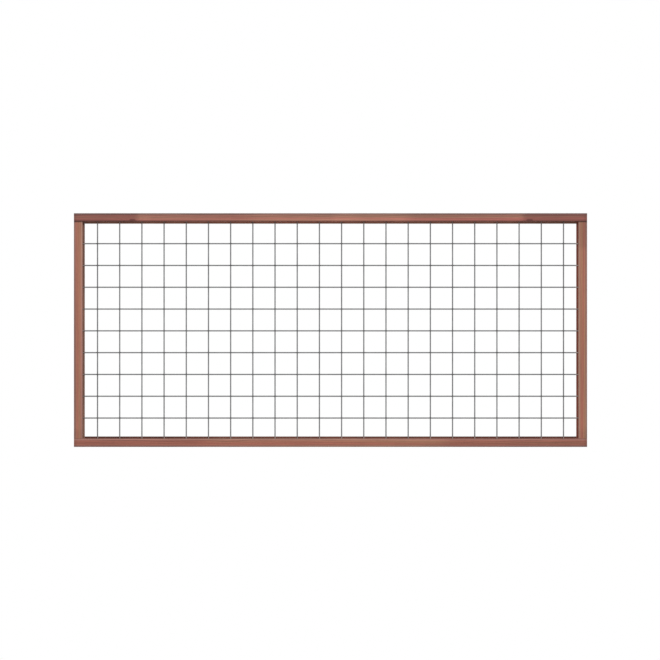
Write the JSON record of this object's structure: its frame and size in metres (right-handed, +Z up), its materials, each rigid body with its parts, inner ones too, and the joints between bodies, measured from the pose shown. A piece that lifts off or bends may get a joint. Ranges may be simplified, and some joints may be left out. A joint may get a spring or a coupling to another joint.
{
  "type": "hog panel",
  "caption": "Timber-framed panel of welded wire mesh for a fence, garden or deck bay: butt-jointed rails and stiles, mesh housed in a rabbet and clamped by back battens.",
  "frame": {"origin": "at floor level under the bottom rail, in the middle of the panel's width and depth", "axes": "+X along the panel to the right as seen from its front, +Y from its front to its back, +Z up"},
  "size_m": [2.35, 0.0574, 1.07],
  "materials": {
    "stained_wood": "reddish-brown stain, satin, with fine grain along each member",
    "dark_wood": "dark brown stain, matt",
    "galvanised_wire": "galvanised, satin grey",
    "screw_steel": "zinc plated"
  },
  "bodies": {
    "root": {"top_rail": "stained_wood", "bottom_rail": "stained_wood", "left_stile": "stained_wood", "right_stile": "stained_wood", "top_batten": "dark_wood", "bottom_batten": "dark_wood", "left_batten": "dark_wood", "right_batten": "dark_wood", "stay_wire_01": "galvanised_wire", "stay_wire_02": "galvanised_wire", "stay_wire_03": "galvanised_wire", "stay_wire_04": "galvanised_wire", "stay_wire_05": "galvanised_wire", "stay_wire_06": "galvanised_wire", "stay_wire_07": "galvanised_wire", "stay_wire_08": "galvanised_wire", "stay_wire_09": "galvanised_wire", "stay_wire_10": "galvanised_wire", "stay_wire_11": "galvanised_wire", "stay_wire_12": "galvanised_wire", "stay_wire_13": "galvanised_wire", "stay_wire_14": "galvanised_wire", "stay_wire_15": "galvanised_wire", "stay_wire_16": "galvanised_wire", "stay_wire_17": "galvanised_wire", "stay_wire_18": "galvanised_wire", "stay_wire_19": "galvanised_wire", "stay_wire_20": "galvanised_wire", "stay_wire_21": "galvanised_wire", "stay_wire_22": "galvanised_wire", "line_wire_01": "galvanised_wire", "line_wire_02": "galvanised_wire", "line_wire_03": "galvanised_wire", "line_wire_04": "galvanised_wire", "line_wire_05": "galvanised_wire", "line_wire_06": "galvanised_wire", "line_wire_07": "galvanised_wire", "line_wire_08": "galvanised_wire", "line_wire_09": "galvanised_wire", "line_wire_10": "galvanised_wire", "corner_screw_top_left": "screw_steel", "corner_screw_top_right": "screw_steel", "corner_screw_bottom_left": "screw_steel", "corner_screw_bottom_right": "screw_steel", "top_batten_screw_1": "screw_steel", "top_batten_screw_2": "screw_steel", "top_batten_screw_3": "screw_steel", "bottom_batten_screw_1": "screw_steel", "bottom_batten_screw_2": "screw_steel", "bottom_batten_screw_3": "screw_steel", "left_batten_screw_top": "screw_steel", "left_batten_screw_bottom": "screw_steel", "right_batten_screw_top": "screw_steel", "right_batten_screw_bottom": "screw_steel"}
  },
  "joints": []
}
